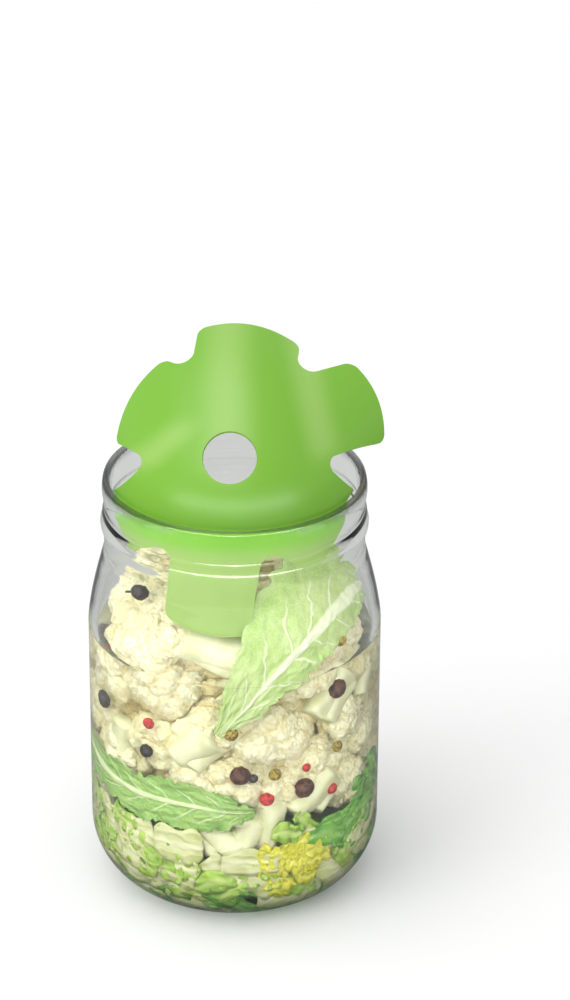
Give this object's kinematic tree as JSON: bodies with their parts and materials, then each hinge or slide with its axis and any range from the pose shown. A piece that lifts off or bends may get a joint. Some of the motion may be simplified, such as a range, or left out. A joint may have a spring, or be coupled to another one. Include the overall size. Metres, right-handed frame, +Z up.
{
  "type": "fermentation jar",
  "caption": "Clear round jar of pickling cauliflower, leaves and greens in brine, with a flexible green tabbed insert being set into its neck.",
  "frame": {"origin": "centre of the jar's foot on the surface it stands on", "axes": "+Z up along the jar's axis; -Y towards the viewer, where the insert lies on the neck wall; +X to the viewer's right"},
  "size_m": [0.105, 0.105, 0.2111],
  "materials": {
    "clear_glass": "clear pressed glass, faint green in thick places",
    "green_plastic": "satin flexible sheet",
    "brine": "clear salt water",
    "cauliflower": null,
    "greens": null,
    "leaf": null
  },
  "bodies": {
    "root": {"jar": "clear_glass", "insert": "green_plastic", "brine": "brine", "cauliflower_heap": "cauliflower", "chopped_greens": "greens", "stalk_piece": "cauliflower", "leaf_upper": "leaf", "leaf_lower": "leaf", "floret_1": "cauliflower", "floret_2": "cauliflower", "floret_3": "cauliflower", "floret_4": "cauliflower", "floret_5": "cauliflower"}
  },
  "joints": []
}
